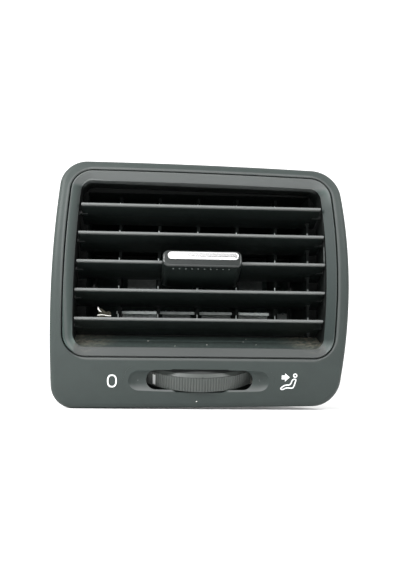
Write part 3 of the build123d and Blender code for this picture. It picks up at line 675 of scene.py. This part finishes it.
def flake(at, normal, r, long=1.0):
    """A thin crumb with an uneven outline, standing a little off a surface."""
    side = normal.orthogonal().normalized()
    other = normal.cross(side)
    count = 9
    thick, sunk = 0.12 * MM, 0.02 * MM
    rim = [r * chance.uniform(0.6, 1.0) for _ in range(count)]
    verts = []
    for lift in (thick, -sunk):
        for k, reach in enumerate(rim):
            a = 2 * pi * k / count
            rise = lift + chance.uniform(0, 0.05) * MM
            verts.append(at + normal * rise + (side * cos(a) * long + other * sin(a)) * reach)
    faces = [tuple(range(count)), tuple(reversed(range(count, 2 * count)))]
    faces += [(k, count + k, count + (k + 1) % count, (k + 1) % count) for k in range(count)]
    return verts, faces


specks = []
for x, y, size in RAMP_SPECKS:
    place, normal, _, _ = bezel_tree.ray_cast(Vector((x * MM, y * MM, OVER_RAMP * MM)), DOWN)
    specks.append(flake(place, normal, size * MM, 1.4))
place, normal = on_front(BAND_SPECK[0], BAND_SPECK[1])
specks.append(flake(place, normal, BAND_SPECK[2] * MM))
piece("dirt_specks", *joined(specks), "debris", "housing", "bezel_plastic")

slat_tree = tree_of("slat_5")


def scrap(x0, x1, low, height, y, lean, wave):
    """A torn leaf on the lowest slat, from x0 to x1 in mm; how far up it starts and ends is given along its length."""
    steps, rows, thick = 2 * len(height), 4, 0.16
    front, back = [], []
    for k in range(steps + 1):
        x = x0 + (x1 - x0) * k / steps
        at = k / steps * (len(height) - 1)
        near = int(min(at, len(height) - 2))
        start, end = (row[near] + (row[near + 1] - row[near]) * (at - near) for row in (low, height))
        foot, _, _, _ = slat_tree.ray_cast(Vector((x * MM, y * MM, 0)), DOWN)
        for j in range(rows + 1):
            up = start + (end - start) * j / rows
            depth = y + lean * up + wave * sin(1.9 * x + 0.8 * j)
            place = Vector((x, depth, foot.z / MM + up - 0.02)) * MM
            front.append(place)
            back.append(place + Vector((0, thick * MM, 0)))
    verts, count, wide = front + back, len(front), rows + 1
    faces = []
    for k in range(steps):
        for j in range(rows):
            a = k * wide + j
            b = count + a
            faces += [(a, a + wide, a + wide + 1, a + 1), (b, b + 1, b + wide + 1, b + wide)]
        for j in (0, rows):
            a = k * wide + j
            faces.append((a, a + wide, count + a + wide, count + a))
    for k in (0, steps):
        for j in range(rows):
            a = k * wide + j
            faces.append((a, a + 1, count + a + 1, count + a))
    return verts, faces


leaf = scrap(-54.8, -48.2, (0,) * 6, (6.4, 6.8, 5.6, 4.9, 5.4, 4.4), -3.0, 0.1, 0.25)
piece("scrap_leaf", *leaf, "dry_leaf", "slat_5", "slat_plastic")
paper = joined([scrap(-55.3, -53.4, (5.9, 5.0, 4.6), (7.6, 5.8, 4.8), -3.2, 0.03, 0.08),
                scrap(-55.5, -48.1, (2.7, 3.1, 2.6, 2.4), (3.15, 3.4, 3.0, 2.8), -3.3, 0.03, 0.1)])
piece("scrap_paper", *paper, "debris", "slat_5", "slat_plastic")


# ---------- floor, light and camera ----------

# half the floor's width in metres
FLOOR_HALF = 3.0

# how much of the sky's glow comes with facing back and with facing up, and how bright its parts are
BACK_SHARE, UP_SHARE = 0.5, 0.85
SKY_DIM, SKY_BRIGHT, SIDE_BRIGHT, BACKDROP = 0.03, 1.5, 0.8, 1.2

floor_z = cad_box[0][2]
corners = [(x * FLOOR_HALF, y * FLOOR_HALF, floor_z) for x, y in ((-1, -1), (1, -1), (1, 1), (-1, 1))]
floor = new_object("floor", corners, [(0, 1, 2, 3)])
floor.data.materials.append(moulded("floor_paper", grey(0.88, EVEN), grey(0.9, EVEN), 0.9, grain=1.0))

# a sky that lights the object from behind, above and both sides, and looks plain white
world = bpy.data.worlds.new("studio")
bpy.context.scene.world = world
world.use_nodes = True
sky_nodes, sky_links = world.node_tree.nodes, world.node_tree.links
sky = sky_nodes["Background"]
sky.inputs["Color"].default_value = (1, 1, 1, 1)


def mixed(operation, first, second):
    return maths(sky_nodes, sky_links, operation, first, second)


def sky_range(value, low, high, to_low, to_high):
    return ranged(sky_nodes, sky_links, value, low, high, to_low, to_high)


direction = add(sky_nodes, "TexCoord")
sky_parts = add(sky_nodes, "SeparateXYZ")
sky_links.new(direction.outputs["Generated"], sky_parts.inputs[0])
sideways, behind, above = sky_parts.outputs
turned = mixed("ADD", mixed("MULTIPLY", behind, BACK_SHARE), mixed("MULTIPLY", above, UP_SHARE))
glow = sky_range(turned, 0.15, 0.55, SKY_DIM, SKY_BRIGHT)
beside = mixed("MULTIPLY", sky_range(mixed("ABSOLUTE", sideways, 0.0), 0.75, 0.95, 0.0, SIDE_BRIGHT),
               sky_range(above, -0.05, 0.1, 0.0, 1.0))
backdrop = mixed("MULTIPLY", add(sky_nodes, "LightPath").outputs["Is Camera Ray"], BACKDROP)
sky_links.new(mixed("MAXIMUM", mixed("MAXIMUM", glow, beside), backdrop), sky.inputs["Strength"])


def area_light(name, at, size, power):
    """A soft box that looks at the origin, from a place in metres."""
    data = bpy.data.lights.new(name, "AREA")
    data.shape, data.size, data.size_y, data.energy = "RECTANGLE", size[0], size[1], power
    lamp = bpy.data.objects.new(name, data)
    lamp.location = at
    lamp.rotation_euler = (-Vector(at)).to_track_quat("-Z", "Y").to_euler()
    bpy.context.scene.collection.objects.link(lamp)


for name, at, size, power in (("left_box", (-0.34, -0.23, 0.23), (0.2, 0.2), 3.0),
                              ("right_box", (0.29, -0.23, 0.21), (0.2, 0.2), 1.05),
                              ("high_box", (-0.2, -0.8, 0.6), (0.4, 0.3), 2.0),
                              ("front_box", (-0.1, -1.0, -0.01), (0.3, 0.1), 2.4)):
    area_light(name, at, size, power)

bpy.context.scene.view_settings.view_transform = "Standard"

forward = Vector((sin(CAMERA_YAW) * cos(CAMERA_PITCH), cos(CAMERA_YAW) * cos(CAMERA_PITCH), sin(CAMERA_PITCH)))
level = Vector((cos(CAMERA_YAW), -sin(CAMERA_YAW), 0))
upright = level.cross(forward)
right = cos(CAMERA_ROLL) * level + sin(CAMERA_ROLL) * upright
up = -sin(CAMERA_ROLL) * level + cos(CAMERA_ROLL) * upright
camera = bpy.data.objects.new("camera", bpy.data.cameras.new("camera"))
camera.data.sensor_width = SENSOR
camera.data.lens = SENSOR * FOCAL_PX / max(FRAME_W, FRAME_H)
camera.data.clip_start, camera.data.clip_end = 0.01, 20
turn = Matrix((right, up, -forward)).transposed().to_4x4()
camera.matrix_world = Matrix.Translation(CAMERA_AT) @ turn
bpy.context.scene.collection.objects.link(camera)
bpy.context.scene.camera = camera
